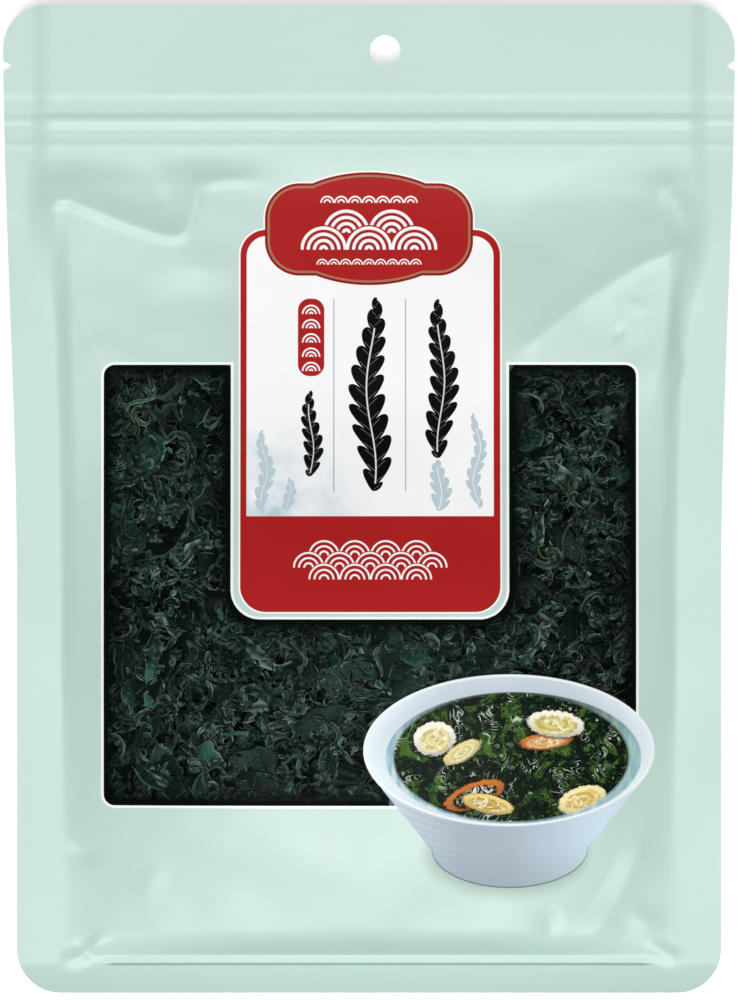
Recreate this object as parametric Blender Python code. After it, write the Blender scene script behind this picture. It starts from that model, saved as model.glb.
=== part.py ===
"""A sealed retail pouch of dried cut wakame, lying on its back.

Metres, +Z up. +X is the pouch's right and +Y its hanging end, as seen from the front. The origin is on the
surface that it rests on, under the middle of the pouch.
"""

import math

import bmesh
import bpy
import numpy as np

MM = 0.001

# Driving sizes of the flat pouch
POUCH_LENGTH = 270 * MM
HEADER_HALF_WIDTH = 100 * MM
BODY_HALF_WIDTH = 96.2 * MM  # the filled body draws its sides in
DRAW_IN = (130 * MM, -25 * MM)  # heights at which this starts and is complete
CORNER_RADIUS = 12 * MM
SIDE_SEAL = 12.5 * MM
BOTTOM_SEAL = 8.2 * MM
FILM = 0.6 * MM
GAP = 0.3 * MM  # between pieces that touch

# Filled shape
SEAL_HEIGHT = 10 * MM  # of the plane where the two films meet
HEADER_DROOP = 2.5 * MM
FRONT_RISE = 21 * MM
REST_SHARE = 0.8  # of the fill, past which the back lies flat
BOTTOM_LIP = 2.2 * MM  # level strip between the bottom seal and the filled body
BOTTOM_REACH = 42 * MM  # from there to the full thickness
TOP_REACH = 68 * MM  # from the zipper to the full thickness
SIDE_POWER, BOTTOM_POWER = 2.6, 3.0  # fullness of the profile towards the edges
SEAL_WAVE = 0.7 * MM
SEAL_WAVE_LENGTH = 74 * MM
SEAL_WAVE_SHIFT = 2.1  # radians, one way on each side
WAVE_FADE = 30 * MM

# Broad troughs of the slack film below the zipper: middle x and y, half length and width, depth, degrees
FOLDS = [
    (-66 * MM, 79.5 * MM, 24 * MM, 8 * MM, 1.8 * MM, -20),
    (65.8 * MM, 67.9 * MM, 26 * MM, 12 * MM, 2.2 * MM, 30),
]
FOLD_FILL = 0.12  # least fill for a trough's full depth

# Zipper, and the header above it
ZIP_LOW = 96.3 * MM
ZIP_HIGH = 109.6 * MM
ZIP_Y = 103.1 * MM
ZIP_HALF_LENGTH = 86 * MM
ZIP_FADE = (87 * MM, 93 * MM)  # where the films come down to each other past the strips' ends
FLANGE_LIFT = 0.8 * MM  # of each film over the zipper's flanges
RIDGE_LIFT = 1.35 * MM  # of each film over the zipper's profile
RIDGE_HALF = 1.1 * MM
HANG_HOLE = (4.4 * MM, 122.3 * MM)
HANG_RADIUS = 4.2 * MM
NOTCH_Y = 118.2 * MM
NOTCH_DEPTH = 2.7 * MM
NOTCH_HALF_HEIGHT = 1.3 * MM

# Half profiles of the zipper in millimetres: y from the middle outwards, z from the seal plane to the film
FLANGE_ENDS = (-5.3, 5.6)
FLANGE = (0.25, 0.6)  # faces of the flanges
GROOVE_HOOK = [(-0.95, 0.5), (-0.95, -0.6), (-0.35, -0.6), (-0.35, -0.3), (-0.6, -0.08), (-0.6, 0.92)]
RIB_HEAD = [(-1.05, 0.85), (-0.16, 0.85), (-0.16, 0.12), (-0.39, 0.05), (0, -0.7)]
ROOT_HALF = 1.7
BACK = [(1.6, 0.6), (1.0, 1.25)]  # rounded back of both strips, against the films

# Window in the front, the label's tab that hangs into it and the oval print at its corner
WINDOW = (-72.4 * MM, 72.9 * MM, -83.7 * MM, 36.5 * MM)
WINDOW_RADIUS = 3 * MM
TAB = (-37.7 * MM, 38.2 * MM, -32.9 * MM, 80 * MM)
TAB_RADIUS = 8 * MM
OVAL_CENTRE = (38.1 * MM, -76.9 * MM)
OVAL_HALF = (40.2 * MM, 29.3 * MM)
PANE_LAP = 4 * MM  # of the clear pane behind the front film
PANE = 0.5 * MM

# Rows of points up both films in millimetres, close together at the seals, the shoulders and the zipper
FILM_ROWS = [-138, -131, -127, -124.6, -122, -118.5, -114, -108, -100, -90, -76, -58, -38, -18, 0, 16, 28]
FILM_ROWS += [38, 47, 55, 62, 69, 76, 83, 89.5, 93.5, 96.5, 98.7, 100.9, 102, 104.2, 105.3, 107.5, 109.3]
FILM_ROWS += [111.6, 117, 124, 131, 138]
PANE_ROWS = [-100, -90, -76, -58, -38, -18, 0, 16, 28, 38, 47]

# Columns of points from the left edge to the middle, as shares of the half width
FRONT_COLUMNS = [-1, -0.93, -0.87, -0.82, -0.76, -0.69, -0.61, -0.52, -0.41, -0.28, -0.14]
BACK_COLUMNS = [-1, -0.93, -0.87, -0.82, -0.72, -0.58, -0.42, -0.22]
PANE_COLUMNS = FRONT_COLUMNS[2:]

# Heap of wakame
HEAP = (-78 * MM, 78 * MM, -120 * MM, 64 * MM)
HEAP_ROUNDING = 0.18  # of its plan, from a rectangle towards an oval
HEAP_CLEAR = 0.9 * MM
SEED = 12

# Packed bed under the loose flakes
BED_POINTS = (13, 15)  # across and along
BED_DEPTH = 6.5 * MM  # from the film down to its top
BED_RELIEF = 1.8 * MM
BED_UNDER = 2.5 * MM  # from the back film up to its underside
BED_MOST = 0.45  # of the room between the films, at most, over the bed
BED_UNDER_MOST = 0.25

# Curled flakes that stand out of the bed
TOP_FLAKES = (8, 10)  # across and along the heap
UNDER_FLAKES = (4, 4)
FLAKE_THICKNESS = 0.75 * MM
FLAKE_LENGTH = (19 * MM, 30 * MM)
FLAKE_WIDTH = (9 * MM, 15 * MM)
FLAKE_TAPER = 0.5
FLAKE_STATIONS = 5
FLAKE_BEND = 1.1  # most turn of its heading from the middle to an end, in radians
FLAKE_LEAN = 0.7  # most lean and twist, in radians
FLAKE_WAVE = 2.8  # radians of up and down from the middle to an end
FLAKE_SINK = BED_DEPTH + 3 * MM

BOTTOM_Y = -POUCH_LENGTH / 2
TOP_Y = POUCH_LENGTH / 2
BODY_LOW = BOTTOM_Y + BOTTOM_SEAL + BOTTOM_LIP


def smooth(t):
    """Smooth step of t from 0 to 1."""
    t = np.clip(t, 0, 1)
    return t * t * (3 - 2 * t)


def half_width(y):
    """The pouch's half width at y: full at the header, drawn in along the filled body."""
    start, end = DRAW_IN
    return HEADER_HALF_WIDTH - (HEADER_HALF_WIDTH - BODY_HALF_WIDTH) * smooth((start - y) / (start - end))


def fill(x, y):
    """How full the pouch is, from 0 at its seals to 1: rounded sides, steep bottom end, long top slope."""
    u = np.clip(np.abs(x) / (half_width(y) - SIDE_SEAL), 0, 1)
    low = np.clip((y - BODY_LOW) / BOTTOM_REACH, 0, 1)
    high = np.clip((ZIP_LOW - y) / TOP_REACH, 0, 1)
    return (1 - u**SIDE_POWER) * (1 - (1 - low) ** BOTTOM_POWER) * smooth(high)


def seal_plane(x, y):
    """Height of the plane where the films meet: drooping in the header, waving along the side seals."""
    droop = HEADER_DROOP * np.clip((y - ZIP_LOW) / (TOP_Y - ZIP_LOW), 0, 1) ** 2
    side = smooth((np.abs(x) / half_width(y) - 0.8) / 0.2)
    body = smooth((ZIP_LOW - y) / WAVE_FADE) * smooth((y - BOTTOM_Y) / WAVE_FADE)
    turn = 2 * math.pi * y / SEAL_WAVE_LENGTH + SEAL_WAVE_SHIFT * np.sign(x)
    return SEAL_HEIGHT - droop + SEAL_WAVE * np.sin(turn) * side * body


def zip_lift(x, y):
    """How far the zipper holds each film off the seal plane: a low band with a ridge over the profile."""
    band = smooth((y - ZIP_LOW + 3 * MM) / (3 * MM)) * smooth((ZIP_HIGH + 2 * MM - y) / (2 * MM))
    ridge = smooth(2 - np.abs(y - ZIP_Y) / RIDGE_HALF)
    start, end = ZIP_FADE
    inside = smooth((end - np.abs(x)) / (end - start))
    return (FLANGE_LIFT * band + (RIDGE_LIFT - FLANGE_LIFT) * ridge) * inside


def folds(x, y):
    """The slack film's broad folds, as soft troughs across the front's shoulders."""
    total = 0
    for middle_x, middle_y, half_long, half_wide, depth, degrees in FOLDS:
        turn = math.radians(degrees)
        dx, dy = x - middle_x, y - middle_y
        along = (dx * math.cos(turn) + dy * math.sin(turn)) / half_long
        across = (dy * math.cos(turn) - dx * math.sin(turn)) / half_wide
        total = total - depth * np.exp(-along**2 - across**2)
    return total * smooth(fill(x, y) / FOLD_FILL)


def front_under(x, y):
    """The front film's inner face."""
    return seal_plane(x, y) + GAP / 2 + FRONT_RISE * fill(x, y) + zip_lift(x, y) + folds(x, y)


def back_top(x, y):
    """The back film's inner face: it sinks from the seals until it lies flat on the surface."""
    sunk = 1 - (1 - np.clip(fill(x, y) / REST_SHARE, 0, 1)) ** 2
    level = seal_plane(x, y) - GAP / 2 - zip_lift(x, y)
    return level + (FILM - level) * sunk


def pane_top(x, y):
    return front_under(x, y) - GAP


def new_object(name, mesh, material=None):
    obj = bpy.data.objects.new(name, mesh)
    bpy.context.scene.collection.objects.link(obj)
    if material:
        mesh.materials.append(material)
    return obj


def mesh_of(name, points, faces):
    """A mesh with its faces turned outwards."""
    mesh = bpy.data.meshes.new(name)
    mesh.from_pydata([tuple(p) for p in points], [], faces)
    shape = bmesh.new()
    shape.from_mesh(mesh)
    bmesh.ops.recalc_face_normals(shape, faces=shape.faces)
    shape.to_mesh(mesh)
    shape.free()
    return mesh


def slab(name, x, y, upper, lower):
    """A closed slab over the grid of points x, y, between two heights at each. Its faces are triangles."""
    rows, columns = x.shape
    count = rows * columns
    top = np.stack([x, y, upper], -1).reshape(-1, 3)
    bottom = np.stack([x, y, lower], -1).reshape(-1, 3)
    faces = []
    for j in range(rows - 1):
        for i in range(columns - 1):
            a, b = j * columns + i, j * columns + i + 1
            c, d = b + columns, a + columns
            faces += [(a, b, c), (a, c, d)]
            faces += [(count + a, count + c, count + b), (count + a, count + d, count + c)]
    rim = list(range(columns))
    rim += [j * columns + columns - 1 for j in range(1, rows)]
    rim += [(rows - 1) * columns + i for i in range(columns - 2, -1, -1)]
    rim += [j * columns for j in range(rows - 2, 0, -1)]
    for a, b in zip(rim, rim[1:] + rim[:1]):
        faces += [(b, a, count + a), (b, count + a, count + b)]
    return mesh_of(name, np.concatenate([top, bottom]), faces)


def mirrored(columns):
    """Columns of points on both sides of the middle."""
    return columns + [0] + [-c for c in reversed(columns)]


def film_grid(columns, rows, past=3 * MM):
    """Points over the whole pouch and a little past its edge, with the columns following its sides."""
    u, v = np.meshgrid(np.array(mirrored(columns)), np.array(rows) * MM)
    return u * (half_width(v) + past), v


def arc(centre, radius, start, steps):
    """Points of a quarter circle that starts at an angle in degrees and turns to the left."""
    turns = [math.radians(start + 90 * step / steps) for step in range(steps + 1)]
    return [(centre[0] + radius * math.cos(t), centre[1] + radius * math.sin(t)) for t in turns]


def outline():
    """The cut edge of the pouch: drawn-in sides and four round corners."""
    low_y, high_y = BOTTOM_Y + CORNER_RADIUS, TOP_Y - CORNER_RADIUS
    right = arc((half_width(low_y) - CORNER_RADIUS, low_y), CORNER_RADIUS, -90, 6)
    right += [(float(half_width(y)), float(y)) for y in np.linspace(low_y, high_y, 12)[1:-1]]
    right += arc((half_width(high_y) - CORNER_RADIUS, high_y), CORNER_RADIUS, 0, 6)
    return right + [(-x, y) for x, y in reversed(right)]


def round_box(low_x, high_x, low_y, high_y, radius):
    """Outline of a rectangle with round corners."""
    inner_x, inner_y = (low_x + radius, high_x - radius), (low_y + radius, high_y - radius)
    points = arc((inner_x[1], inner_y[0]), radius, -90, 4)
    points += arc((inner_x[1], inner_y[1]), radius, 0, 4)
    points += arc((inner_x[0], inner_y[1]), radius, 90, 4)
    points += arc((inner_x[0], inner_y[0]), radius, 180, 4)
    return points


def ellipse(centre, half, steps):
    turns = [2 * math.pi * i / steps for i in range(steps)]
    return [(centre[0] + half[0] * math.cos(t), centre[1] + half[1] * math.sin(t)) for t in turns]


def prism(name, lower, upper):
    """A closed prism between two outlines with as many points."""
    count = len(lower)
    faces = [tuple(range(count)), tuple(range(count, 2 * count))]
    faces += [(i, (i + 1) % count, count + (i + 1) % count, count + i) for i in range(count)]
    return mesh_of(name, lower + upper, faces)


def cutter(name, points, low=-20 * MM, high=60 * MM):
    """An upright prism over a closed outline, kept out of the render."""
    obj = new_object(name, prism(name, [(x, y, low) for x, y in points], [(x, y, high) for x, y in points]))
    obj.hide_render = True
    obj.display_type = "WIRE"
    return obj


def boolean(obj, other, operation):
    modifier = obj.modifiers.new(other.name, "BOOLEAN")
    modifier.object = other
    modifier.operation = operation
    modifier.solver = "EXACT"


def finish(name, color, roughness, alpha=1.0):
    """A Principled material. An alpha under 1 is clear film."""
    material = bpy.data.materials.new(name)
    material.use_nodes = True
    shader = material.node_tree.nodes["Principled BSDF"]
    shader.inputs["Base Color"].default_value = (*color, 1)
    shader.inputs["Roughness"].default_value = roughness
    shader.inputs["Metallic"].default_value = 0
    shader.inputs["Alpha"].default_value = alpha
    return material


def film_cutters():
    """What shapes the sheets: outline, hang hole, tear notches, and the window with what hangs into it."""
    edge = cutter("cut_outline", outline())
    hole = cutter("cut_hang_hole", ellipse(HANG_HOLE, (HANG_RADIUS, HANG_RADIUS), 20))
    notches = []
    for side, word in ((-1, "left"), (1, "right")):
        centre = (side * float(half_width(NOTCH_Y)), NOTCH_Y)
        notches.append(cutter("cut_notch_" + word, ellipse(centre, (NOTCH_DEPTH, NOTCH_HALF_HEIGHT), 10)))
    window = cutter("cut_window", round_box(*WINDOW, WINDOW_RADIUS))
    boolean(window, cutter("cut_tab", round_box(*TAB, TAB_RADIUS), -30 * MM, 70 * MM), "DIFFERENCE")
    boolean(window, cutter("cut_oval", ellipse(OVAL_CENTRE, OVAL_HALF, 36), -30 * MM, 70 * MM), "DIFFERENCE")
    return edge, [hole, *notches], window


def make_front(edge, holes, window, material):
    x, y = film_grid(FRONT_COLUMNS, FILM_ROWS)
    under = front_under(x, y)
    front = new_object("front_film", slab("front_film", x, y, under + FILM, under), material)
    boolean(front, edge, "INTERSECT")
    for hole in [*holes, window]:
        boolean(front, hole, "DIFFERENCE")


def make_back(edge, holes, material):
    x, y = film_grid(BACK_COLUMNS, FILM_ROWS)
    top = back_top(x, y)
    back = new_object("back_film", slab("back_film", x, y, top, top - FILM), material)
    boolean(back, edge, "INTERSECT")
    for hole in holes:
        boolean(back, hole, "DIFFERENCE")


def make_pane(material):
    """The clear pane, lapped all round behind the window's edge."""
    low_x, high_x, low_y, high_y = WINDOW
    x, y = film_grid(PANE_COLUMNS, PANE_ROWS)
    top = pane_top(x, y)
    pane = new_object("window_pane", slab("window_pane", x, y, top, top - PANE), material)
    lapped = (low_x - PANE_LAP, high_x + PANE_LAP, low_y - PANE_LAP, high_y + PANE_LAP)
    boolean(pane, cutter("cut_pane", round_box(*lapped, WINDOW_RADIUS + PANE_LAP)), "INTERSECT")


def zip_strip(name, side, profile, material):
    """One half of the press-to-close zipper: a profile in Y and Z swept along X. side -1 turns it over."""
    level = SEAL_HEIGHT - HEADER_DROOP * ((ZIP_Y - ZIP_LOW) / (TOP_Y - ZIP_LOW)) ** 2
    ends = []
    for x in (-ZIP_HALF_LENGTH, ZIP_HALF_LENGTH):
        ends.append([(x, ZIP_Y + y * MM, level + side * z * MM) for y, z in profile])
    new_object(name, prism(name, *ends), material)


def make_zipper(material):
    """Groove strip under the front film and rib strip on the back film, pressed together."""
    low, high = FLANGE_ENDS
    thin, thick = FLANGE
    start = [(low, thick), (low, thin), (-ROOT_HALF, thin)]
    end = [(ROOT_HALF, thin), (high, thin), (high, thick)]
    back = BACK + [(-y, z) for y, z in reversed(BACK)]
    hooks = GROOVE_HOOK + [(-y, z) for y, z in reversed(GROOVE_HOOK)]
    head = RIB_HEAD + [(-y, z) for y, z in reversed(RIB_HEAD[:-1])]
    zip_strip("zipper_groove", 1, start + hooks + end + back, material)
    zip_strip("zipper_rib", -1, start + head + end + back, material)


def heap_limits(x, y):
    """The lowest and highest that wakame may reach, a little clear of the films."""
    return back_top(x, y) + HEAP_CLEAR, pane_top(x, y) - PANE - HEAP_CLEAR


def heap_place(u, v):
    """A point of the heap's rounded plan, for u and v from -1 to 1."""
    low_x, high_x, low_y, high_y = HEAP
    x = u * np.sqrt(1 - HEAP_ROUNDING * v * v)
    y = v * np.sqrt(1 - HEAP_ROUNDING * u * u)
    return (low_x + high_x + x * (high_x - low_x)) / 2, (low_y + high_y + y * (high_y - low_y)) / 2


def crumple(x, y):
    """Uneven relief from 0 to 1, from crossing ripples of about 35 mm that bend each other."""
    a = np.sin(x / (5.1 * MM) + 1.7 * np.sin(y / (8.3 * MM)))
    b = np.sin(y / (5.6 * MM) + 1.9 * np.sin(x / (7.1 * MM) + 0.6))
    return 0.5 + 0.25 * a + 0.25 * b


def make_bed():
    """The packed bed: a slab over the heap's plan, thinning towards the seals."""
    columns, rows = BED_POINTS
    x, y = heap_place(*np.meshgrid(np.linspace(-1, 1, columns), np.linspace(-1, 1, rows)))
    low, high = heap_limits(x, y)
    room = high - low
    depth = BED_DEPTH * smooth(room / (15 * MM)) + BED_RELIEF * crumple(x, y) * smooth(room / (8 * MM))
    top = high - np.minimum(depth, BED_MOST * room)
    return slab("wakame_flakes", x, y, top, low + np.minimum(BED_UNDER, BED_UNDER_MOST * room))


def ribbon(name, left, right):
    """A closed blade with four corners at each station, between two edge lines."""
    along = np.gradient((left + right) / 2, axis=0)
    normal = np.cross(along, right - left)
    normal *= FLAKE_THICKNESS / 2 / np.linalg.norm(normal, axis=1)[:, None]
    rings = np.stack([left + normal, right + normal, right - normal, left - normal], 1)
    stations = len(left)
    faces = [(0, 1, 2, 3), tuple(4 * (stations - 1) + k for k in (3, 2, 1, 0))]
    for i in range(stations - 1):
        for k in range(4):
            a, b = 4 * i + k, 4 * i + (k + 1) % 4
            faces.append((a, b, b + 4, a + 4))
    return mesh_of(name, rings.reshape(-1, 3), faces)


def flake(name, rng, place, under):
    """A curled flake through the bed's face: a twisting ribbon whose waves rise to the film and sink in."""
    s = np.linspace(-1, 1, FLAKE_STATIONS)
    width = rng.uniform(*FLAKE_WIDTH) * (1 - FLAKE_TAPER * s * s) * rng.uniform(0.8, 1.2, FLAKE_STATIONS)
    heading = rng.uniform(0, 2 * math.pi) + rng.uniform(-FLAKE_BEND, FLAKE_BEND) * s
    step = rng.uniform(*FLAKE_LENGTH) / (FLAKE_STATIONS - 1)
    path = np.cumsum(np.stack([np.cos(heading), np.sin(heading)], 1) * step, axis=0)
    path += np.array(place) - path[FLAKE_STATIONS // 2]
    wave = 0.5 - 0.5 * np.cos(FLAKE_WAVE * s + rng.uniform(0, 2 * math.pi))
    sink = wave * FLAKE_SINK * rng.uniform(0.85, 1.0)
    lean = rng.uniform(-FLAKE_LEAN, FLAKE_LEAN) + rng.uniform(-FLAKE_LEAN, FLAKE_LEAN) * s
    across = np.stack([-np.sin(heading) * np.cos(lean), np.cos(heading) * np.cos(lean), np.sin(lean)], 1)
    low, high = heap_limits(path[:, 0], path[:, 1])
    height = low + 0.5 * sink if under else high - sink
    centre = np.column_stack([path, height])
    margin = FLAKE_THICKNESS / 2
    edges = []
    for side in (-1, 1):
        edge = centre + side * across * width[:, None] / 2
        low, high = heap_limits(edge[:, 0], edge[:, 1])
        edge[:, 2] = np.clip(edge[:, 2], low + margin, np.maximum(high - margin, low + 2 * margin))
        edges.append(edge)
    return ribbon(name, *edges)


def flake_places(rng, counts, inset):
    """Places on a jittered grid over the heap's plan."""
    places = []
    for j in range(counts[1]):
        for i in range(counts[0]):
            u = (2 * (i + 0.5 + rng.uniform(-0.3, 0.3)) / counts[0] - 1) * inset
            v = (2 * (j + 0.5 + rng.uniform(-0.3, 0.3)) / counts[1] - 1) * inset
            places.append(heap_place(u, v))
    return places


def keep_largest_body(mesh):
    """Drops what came loose in the union, and the walls of any pocket that it sealed."""
    shape = bmesh.new()
    shape.from_mesh(mesh)
    left = set(shape.faces)
    bodies = []
    while left:
        reached, waiting = set(), [left.pop()]
        while waiting:
            face = waiting.pop()
            reached.add(face)
            for other in [f for edge in face.edges for f in edge.link_faces if f in left]:
                left.discard(other)
                waiting.append(other)
        bodies.append(reached)
    bodies.sort(key=len)
    loose = [face for body in bodies[:-1] for face in body]
    bmesh.ops.delete(shape, geom=loose, context="FACES")
    shape.to_mesh(mesh)
    shape.free()


def join_pieces(obj, pieces):
    """Joins a collection's objects to obj in one union, applies it and removes them."""
    modifier = obj.modifiers.new(pieces.name, "BOOLEAN")
    modifier.operand_type = "COLLECTION"
    modifier.collection = pieces
    modifier.operation = "UNION"
    modifier.solver = "MANIFOLD"
    bpy.context.view_layer.update()
    joined = bpy.data.meshes.new_from_object(obj.evaluated_get(bpy.context.evaluated_depsgraph_get()))
    obj.modifiers.clear()
    obj.data = joined
    for piece in list(pieces.objects):
        bpy.data.objects.remove(piece)
    bpy.data.collections.remove(pieces)


def make_wakame(material):
    """The heap: the bed with curled flakes standing out of it, joined into one body."""
    rng = np.random.default_rng(SEED)
    heap = new_object("wakame_flakes", make_bed())
    pieces = bpy.data.collections.new("flake_pieces")
    bpy.context.scene.collection.children.link(pieces)
    places = [(place, False) for place in flake_places(rng, TOP_FLAKES, 0.97)]
    places += [(place, True) for place in flake_places(rng, UNDER_FLAKES, 0.8)]
    for place, under in places:
        pieces.objects.link(bpy.data.objects.new("flake", flake("flake", rng, place, under)))
    join_pieces(heap, pieces)
    keep_largest_body(heap.data)
    heap.data.materials.clear()
    heap.data.materials.append(material)


def main():
    for obj in list(bpy.data.objects):
        bpy.data.objects.remove(obj)
    mint = finish("mint_film", (0.58, 0.76, 0.69), 0.38)
    clear = finish("clear_film", (0.85, 0.92, 0.9), 0.08, 0.2)
    strip = finish("zipper_plastic", (0.85, 0.88, 0.87), 0.3)
    weed = finish("dried_wakame", (0.012, 0.03, 0.02), 0.42)
    edge, holes, window = film_cutters()
    make_front(edge, holes, window, mint)
    make_back(edge, holes, mint)
    make_pane(clear)
    make_zipper(strip)
    make_wakame(weed)


main()
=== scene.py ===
import math

import bpy
import numpy as np
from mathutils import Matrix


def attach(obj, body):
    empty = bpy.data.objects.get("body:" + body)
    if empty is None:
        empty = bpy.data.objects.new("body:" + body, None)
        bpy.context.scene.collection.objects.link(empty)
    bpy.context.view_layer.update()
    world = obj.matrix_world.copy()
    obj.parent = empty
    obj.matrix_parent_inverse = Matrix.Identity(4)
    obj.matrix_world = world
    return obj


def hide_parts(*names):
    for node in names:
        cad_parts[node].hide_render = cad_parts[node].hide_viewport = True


# A sealed pouch of dried cut wakame on its back, seen from straight above.
# Metres, with +Y towards the hang hole and +Z out of the printed front.

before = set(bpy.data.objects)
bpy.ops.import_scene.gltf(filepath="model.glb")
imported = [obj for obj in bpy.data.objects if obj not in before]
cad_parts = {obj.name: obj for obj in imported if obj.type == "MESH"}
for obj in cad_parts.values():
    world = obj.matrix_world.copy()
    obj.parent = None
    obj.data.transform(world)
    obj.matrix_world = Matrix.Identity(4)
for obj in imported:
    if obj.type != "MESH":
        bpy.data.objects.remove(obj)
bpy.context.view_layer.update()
mm = 0.001
print("frame loaded:", ", ".join(sorted(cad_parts)))

# The filled pouch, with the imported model's sizes and thinner films
pouch = {
    "length": 270 * mm,
    "headerHalf": 100 * mm,
    "bodyHalf": 96.2 * mm,
    "drawIn": (130 * mm, -25 * mm),
    "corner": 12 * mm,
    "sideSeal": 12.5 * mm,
    "bottomSeal": 8.2 * mm,
    "sealHeight": 10 * mm,
    "bottomCurl": 1.5 * mm,
    "curlPower": 1.4,
    "restShare": 0.8,
    "bottomLip": 2.2 * mm,
    "bottomReach": 42 * mm,
    "topReach": 68 * mm,
    "sidePower": 2.6,
    "bottomPower": 3.0,
    "waveFrom": 0.8,  # of the way to the side
    "waveHeight": 0.15 * mm,
    "waveLength": 74 * mm,
    "waveShift": 2.1,  # radians, one way on each side
    "waveFade": 30 * mm,
    "film": 0.22 * mm,
    "weld": 0.02 * mm,  # between the two films, so that the seals read as one sheet
    "pane": 0.15 * mm,
    "flushWidth": 0.9 * mm,
}
zipper = {
    "low": 96.3 * mm,
    "high": 109.6 * mm,
    "middle": 103.1 * mm,
    "fade": (87 * mm, 93 * mm),
    "flangeLift": 1.05 * mm,
    "ridgeLift": 1.35 * mm,
    "above": 12 * mm,
    "below": 16 * mm,
    "ridgeHalf": 2.4 * mm,
    "ridgeFlank": 1.8 * mm,
}
cuts = {
    "hangHole": (4.4 * mm, 122.3 * mm),
    "hangRadius": 4.2 * mm,
    "notchY": 118.2 * mm,
    "notchDepth": 2.7 * mm,
    "notchHalf": 1.3 * mm,
    "window": (-72.4 * mm, 72.9 * mm, -83.7 * mm, 36.5 * mm),
    "windowRadius": 3 * mm,
    "tab": (-37.7 * mm, 38.2 * mm, -32.9 * mm, 80 * mm),
    "tabRadius": 8 * mm,
    "cutCorner": (50 * mm, 90 * mm, -100 * mm, -68.6 * mm),
    "lap": 4 * mm,
}
bowl = {  # in millimetres
    "rim": (38.2, -68.6),
    "rimHalf": (39.8, 20.8),
    "opening": (39.4, -70.6),
    "openingHalf": (34.9, 17.9),
    "soupHalf": (32.2, 17.6),
    "shoulder": (36.5, -76.9),
    "foot": (38.4, -95.4),
    "footHalf": (21.4, 10.8),
}
bottomY, topY = -pouch["length"] / 2, pouch["length"] / 2
bodyLow = bottomY + pouch["bottomSeal"] + pouch["bottomLip"]


class Socket:
    # wraps an output of a shader node, so that an expression on it adds Math nodes, as below
    def __init__(self, finish, output):
        self.finish, self.output = finish, output

    def math(self, operation, *values):
        return self.finish.add("ShaderNodeMath", {"operation": operation}, dict(enumerate(values)))

    def __neg__(self):
        return self.math("MULTIPLY", self, -1)


def addOperator(name, operation):
    # one of Python's operators, with the socket on its left or right
    setattr(Socket, f"__{name}__", lambda a, b: a.math(operation, a, b))
    setattr(Socket, f"__r{name}__", lambda a, b: a.math(operation, b, a))


for name, operation in (
        ("add", "ADD"), ("sub", "SUBTRACT"), ("mul", "MULTIPLY"), ("truediv", "DIVIDE"), ("pow", "POWER")):
    addOperator(name, operation)


def onBoth(operation, forArrays):
    # plain maths that works on arrays and on sockets alike
    return lambda a, *more: a.math(operation, a, *more) if isinstance(a, Socket) else forArrays(a, *more)


magnitude, root, sine = onBoth("ABSOLUTE", np.abs), onBoth("SQRT", np.sqrt), onBoth("SINE", np.sin)
larger, smaller = onBoth("MAXIMUM", np.maximum), onBoth("MINIMUM", np.minimum)


# Signed distances, below zero inside
def boxDistance(x, y, box, radius):
    # how far outside a rectangle shrunk by its corner radius, less that radius
    lowX, highX, lowY, highY = box
    a = magnitude(x - (lowX + highX) / 2) - ((highX - lowX) / 2 - radius)
    b = magnitude(y - (lowY + highY) / 2) - ((highY - lowY) / 2 - radius)
    outside = root(larger(a, 0) * larger(a, 0) + larger(b, 0) * larger(b, 0))
    return outside + smaller(larger(a, b), 0) - radius


def ovalDistance(x, y, centre, half):
    # the ellipse's equation over the length of its gradient
    a, b = (x - centre[0]) / half[0], (y - centre[1]) / half[1]
    steepness = root(a * a / half[0] ** 2 + b * b / half[1] ** 2) * 2
    return (a * a + b * b - 1) / larger(steepness, 0.2 / half[0])


def windowDistance(x, y, scale=1.0):
    # the window's rectangle without the label's tab and a corner; scale is 1000 for x and y in millimetres
    def box(name, radius):
        return boxDistance(x, y, [scale * value for value in cuts[name]], scale * radius)

    window, tab = box("window", cuts["windowRadius"]), box("tab", cuts["tabRadius"])
    return larger(larger(window, -tab), -box("cutCorner", 0))


def bowlDistance(x, y):
    # the printed bowl, in millimetres: its rim, its slanting sides from the shoulder down and its foot
    rim = ovalDistance(x, y, bowl["rim"], bowl["rimHalf"])
    foot = ovalDistance(x, y, bowl["foot"], bowl["footHalf"])
    shoulderHalf, shoulderY = bowl["shoulder"]
    footY = bowl["foot"][1]
    slant = (shoulderHalf - bowl["footHalf"][0]) / (shoulderY - footY)
    half = (y - footY) * slant + bowl["footHalf"][0]
    side = larger(larger(magnitude(x - bowl["rim"][0]) - half, y - shoulderY), footY - y)
    return smaller(smaller(rim, foot), side)


def smooth(t):
    t = np.clip(t, 0, 1)
    return t * t * (3 - 2 * t)


def halfWidth(y):
    start, end = pouch["drawIn"]
    narrower = pouch["headerHalf"] - pouch["bodyHalf"]
    return pouch["headerHalf"] - narrower * smooth((start - y) / (start - end))


def outlineDistance(x, y):
    # a rectangle with round corners whose sides follow the drawn-in body
    radius = pouch["corner"]
    a = np.abs(x) - halfWidth(np.clip(y, bottomY + radius, topY - radius)) + radius
    b = np.abs(y) - topY + radius
    outside = np.hypot(np.maximum(a, 0), np.maximum(b, 0))
    return outside + np.minimum(np.maximum(a, b), 0) - radius


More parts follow.
